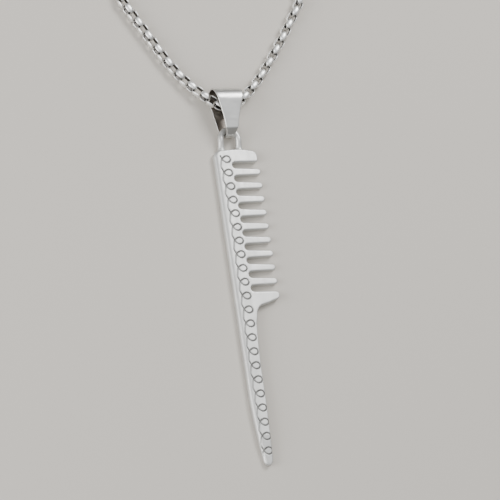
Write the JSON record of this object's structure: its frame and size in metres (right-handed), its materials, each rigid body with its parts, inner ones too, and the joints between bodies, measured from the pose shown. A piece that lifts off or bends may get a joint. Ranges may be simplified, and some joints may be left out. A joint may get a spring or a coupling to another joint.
{
  "type": "tail comb pendant on chain",
  "caption": "Steel tail comb pendant with a scroll-engraved spine, a cast hanging eye and a fold-over bail on a round box chain, laid flat.",
  "frame": {"origin": "on the comb's flat back face, on the hanging axis, in the top guard", "axes": "+Y along the comb towards the chain, +X along the teeth, +Z off the flat back"},
  "size_m": [0.072, 0.1453, 0.0057],
  "materials": {
    "satin_steel": "satin",
    "bright_steel": "polished"
  },
  "bodies": {
    "chain_middle": {"link_00": "bright_steel"},
    "bail": {"bail": "satin_steel"},
    "comb": {"comb": "satin_steel"},
    "run_l01": {"link_l01": "bright_steel"},
    "run_l02": {"link_l02": "bright_steel"},
    "run_l03": {"link_l03": "bright_steel"},
    "run_l04": {"link_l04": "bright_steel"},
    "run_l05": {"link_l05": "bright_steel"},
    "run_l06": {"link_l06": "bright_steel"},
    "run_l07": {"link_l07": "bright_steel"},
    "run_l08": {"link_l08": "bright_steel"},
    "run_l09": {"link_l09": "bright_steel"},
    "run_l10": {"link_l10": "bright_steel"},
    "run_l11": {"link_l11": "bright_steel"},
    "run_l12": {"link_l12": "bright_steel"},
    "run_l13": {"link_l13": "bright_steel"},
    "run_l14": {"link_l14": "bright_steel"},
    "run_l15": {"link_l15": "bright_steel"},
    "run_l16": {"link_l16": "bright_steel"},
    "run_l17": {"link_l17": "bright_steel"},
    "run_l18": {"link_l18": "bright_steel", "chain_l_lead": "bright_steel", "chain_l_coil": "bright_steel", "clasp_ring": "bright_steel", "clasp_body": "bright_steel", "clasp_rivet": "bright_steel"},
    "run_r01": {"link_r01": "bright_steel"},
    "run_r02": {"link_r02": "bright_steel"},
    "run_r03": {"link_r03": "bright_steel"},
    "run_r04": {"link_r04": "bright_steel"},
    "run_r05": {"link_r05": "bright_steel"},
    "run_r06": {"link_r06": "bright_steel"},
    "run_r07": {"link_r07": "bright_steel"},
    "run_r08": {"link_r08": "bright_steel"},
    "run_r09": {"link_r09": "bright_steel"},
    "run_r10": {"link_r10": "bright_steel"},
    "run_r11": {"link_r11": "bright_steel"},
    "run_r12": {"link_r12": "bright_steel"},
    "run_r13": {"link_r13": "bright_steel"},
    "run_r14": {"link_r14": "bright_steel"},
    "run_r15": {"link_r15": "bright_steel"},
    "run_r16": {"link_r16": "bright_steel"},
    "run_r17": {"link_r17": "bright_steel"},
    "run_r18": {"link_r18": "bright_steel", "chain_r_lead": "bright_steel", "chain_r_coil": "bright_steel", "end_ring": "bright_steel"},
    "lever": {"clasp_lever": "bright_steel"}
  },
  "joints": [
    {"name": "bail_swing", "type": "hinge", "parent": "chain_middle", "child": "bail", "pos_m": [0.00013, 0.01134, 0.00235], "axis": [1, 0, 0], "range_deg": [-30, 8]},
    {"name": "comb_swing", "type": "hinge", "parent": "bail", "child": "comb", "pos_m": [-0.00003, 0.00644, 0.00193], "axis": [1, 0, 0], "range_deg": [-70, 5]},
    {"name": "bend_l01", "type": "hinge", "parent": "chain_middle", "child": "run_l01", "pos_m": [-0.00056, 0.01134, 0.00235], "axis": [0, 0, 1], "range_deg": [-2, 8]},
    {"name": "bend_l02", "type": "hinge", "parent": "run_l01", "child": "run_l02", "pos_m": [-0.00254, 0.01253, 0.00222], "axis": [0, 0, 1], "range_deg": [-2, 8]},
    {"name": "bend_l03", "type": "hinge", "parent": "run_l02", "child": "run_l03", "pos_m": [-0.00363, 0.01337, 0.00209], "axis": [0, 0, 1], "range_deg": [-2, 8]},
    {"name": "bend_l04", "type": "hinge", "parent": "run_l03", "child": "run_l04", "pos_m": [-0.00535, 0.01491, 0.00184], "axis": [0, 0, 1], "range_deg": [-2, 8]},
    {"name": "bend_l05", "type": "hinge", "parent": "run_l04", "child": "run_l05", "pos_m": [-0.00634, 0.01586, 0.00167], "axis": [0, 0, 1], "range_deg": [-2, 8]},
    {"name": "bend_l06", "type": "hinge", "parent": "run_l05", "child": "run_l06", "pos_m": [-0.00793, 0.01753, 0.00143], "axis": [0, 0, 1], "range_deg": [-2, 8]},
    {"name": "bend_l07", "type": "hinge", "parent": "run_l06", "child": "run_l07", "pos_m": [-0.00883, 0.01857, 0.00132], "axis": [0, 0, 1], "range_deg": [-2, 8]},
    {"name": "bend_l08", "type": "hinge", "parent": "run_l07", "child": "run_l08", "pos_m": [-0.01026, 0.0204, 0.00125], "axis": [0, 0, 1], "range_deg": [-2, 8]},
    {"name": "bend_l09", "type": "hinge", "parent": "run_l08", "child": "run_l09", "pos_m": [-0.01106, 0.02152, 0.00125], "axis": [0, 0, 1], "range_deg": [-2, 8]},
    {"name": "bend_l10", "type": "hinge", "parent": "run_l09", "child": "run_l10", "pos_m": [-0.01231, 0.02348, 0.00125], "axis": [0, 0, 1], "range_deg": [-2, 8]},
    {"name": "bend_l11", "type": "hinge", "parent": "run_l10", "child": "run_l11", "pos_m": [-0.01302, 0.02466, 0.00125], "axis": [0, 0, 1], "range_deg": [-2, 8]},
    {"name": "bend_l12", "type": "hinge", "parent": "run_l11", "child": "run_l12", "pos_m": [-0.01418, 0.02667, 0.00125], "axis": [0, 0, 1], "range_deg": [-2, 8]},
    {"name": "bend_l13", "type": "hinge", "parent": "run_l12", "child": "run_l13", "pos_m": [-0.01487, 0.02786, 0.00125], "axis": [0, 0, 1], "range_deg": [-2, 8]},
    {"name": "bend_l14", "type": "hinge", "parent": "run_l13", "child": "run_l14", "pos_m": [-0.01604, 0.02987, 0.00125], "axis": [0, 0, 1], "range_deg": [-2, 8]},
    {"name": "bend_l15", "type": "hinge", "parent": "run_l14", "child": "run_l15", "pos_m": [-0.01673, 0.03106, 0.00125], "axis": [0, 0, 1], "range_deg": [-2, 8]},
    {"name": "bend_l16", "type": "hinge", "parent": "run_l15", "child": "run_l16", "pos_m": [-0.01789, 0.03307, 0.00125], "axis": [0, 0, 1], "range_deg": [-2, 8]},
    {"name": "bend_l17", "type": "hinge", "parent": "run_l16", "child": "run_l17", "pos_m": [-0.01858, 0.03427, 0.00125], "axis": [0, 0, 1], "range_deg": [-2, 8]},
    {"name": "bend_l18", "type": "hinge", "parent": "run_l17", "child": "run_l18", "pos_m": [-0.01974, 0.03628, 0.00125], "axis": [0, 0, 1], "range_deg": [-2, 8]},
    {"name": "bend_r01", "type": "hinge", "parent": "chain_middle", "child": "run_r01", "pos_m": [0.00082, 0.01134, 0.00235], "axis": [0, 0, 1], "range_deg": [-8, 2]},
    {"name": "bend_r02", "type": "hinge", "parent": "run_r01", "child": "run_r02", "pos_m": [0.00281, 0.01253, 0.00222], "axis": [0, 0, 1], "range_deg": [-8, 2]},
    {"name": "bend_r03", "type": "hinge", "parent": "run_r02", "child": "run_r03", "pos_m": [0.00391, 0.01335, 0.00209], "axis": [0, 0, 1], "range_deg": [-8, 2]},
    {"name": "bend_r04", "type": "hinge", "parent": "run_r03", "child": "run_r04", "pos_m": [0.00566, 0.01485, 0.00184], "axis": [0, 0, 1], "range_deg": [-8, 2]},
    {"name": "bend_r05", "type": "hinge", "parent": "run_r04", "child": "run_r05", "pos_m": [0.00664, 0.01581, 0.00167], "axis": [0, 0, 1], "range_deg": [-8, 2]},
    {"name": "bend_r06", "type": "hinge", "parent": "run_r05", "child": "run_r06", "pos_m": [0.00822, 0.01749, 0.00143], "axis": [0, 0, 1], "range_deg": [-8, 2]},
    {"name": "bend_r07", "type": "hinge", "parent": "run_r06", "child": "run_r07", "pos_m": [0.00912, 0.01853, 0.00132], "axis": [0, 0, 1], "range_deg": [-8, 2]},
    {"name": "bend_r08", "type": "hinge", "parent": "run_r07", "child": "run_r08", "pos_m": [0.01057, 0.02034, 0.00125], "axis": [0, 0, 1], "range_deg": [-8, 2]},
    {"name": "bend_r09", "type": "hinge", "parent": "run_r08", "child": "run_r09", "pos_m": [0.01141, 0.02143, 0.00125], "axis": [0, 0, 1], "range_deg": [-8, 2]},
    {"name": "bend_r10", "type": "hinge", "parent": "run_r09", "child": "run_r10", "pos_m": [0.01279, 0.0233, 0.00125], "axis": [0, 0, 1], "range_deg": [-8, 2]},
    {"name": "bend_r11", "type": "hinge", "parent": "run_r10", "child": "run_r11", "pos_m": [0.01359, 0.02443, 0.00125], "axis": [0, 0, 1], "range_deg": [-8, 2]},
    {"name": "bend_r12", "type": "hinge", "parent": "run_r11", "child": "run_r12", "pos_m": [0.01491, 0.02634, 0.00125], "axis": [0, 0, 1], "range_deg": [-8, 2]},
    {"name": "bend_r13", "type": "hinge", "parent": "run_r12", "child": "run_r13", "pos_m": [0.01568, 0.02748, 0.00125], "axis": [0, 0, 1], "range_deg": [-8, 2]},
    {"name": "bend_r14", "type": "hinge", "parent": "run_r13", "child": "run_r14", "pos_m": [0.01696, 0.02941, 0.00125], "axis": [0, 0, 1], "range_deg": [-8, 2]},
    {"name": "bend_r15", "type": "hinge", "parent": "run_r14", "child": "run_r15", "pos_m": [0.01771, 0.03057, 0.00125], "axis": [0, 0, 1], "range_deg": [-8, 2]},
    {"name": "bend_r16", "type": "hinge", "parent": "run_r15", "child": "run_r16", "pos_m": [0.01897, 0.03252, 0.00125], "axis": [0, 0, 1], "range_deg": [-8, 2]},
    {"name": "bend_r17", "type": "hinge", "parent": "run_r16", "child": "run_r17", "pos_m": [0.01971, 0.03368, 0.00125], "axis": [0, 0, 1], "range_deg": [-8, 2]},
    {"name": "bend_r18", "type": "hinge", "parent": "run_r17", "child": "run_r18", "pos_m": [0.02096, 0.03564, 0.00125], "axis": [0, 0, 1], "range_deg": [-8, 2]},
    {"name": "lever_turn", "type": "hinge", "parent": "run_l18", "child": "lever", "pos_m": [-0.01812, 0.05892, 0.00182], "axis": [0, 0, 1], "range_deg": [0, 20], "stiffness_Nm_per_rad": 0.0002, "springref_deg": -17.19}
  ]
}
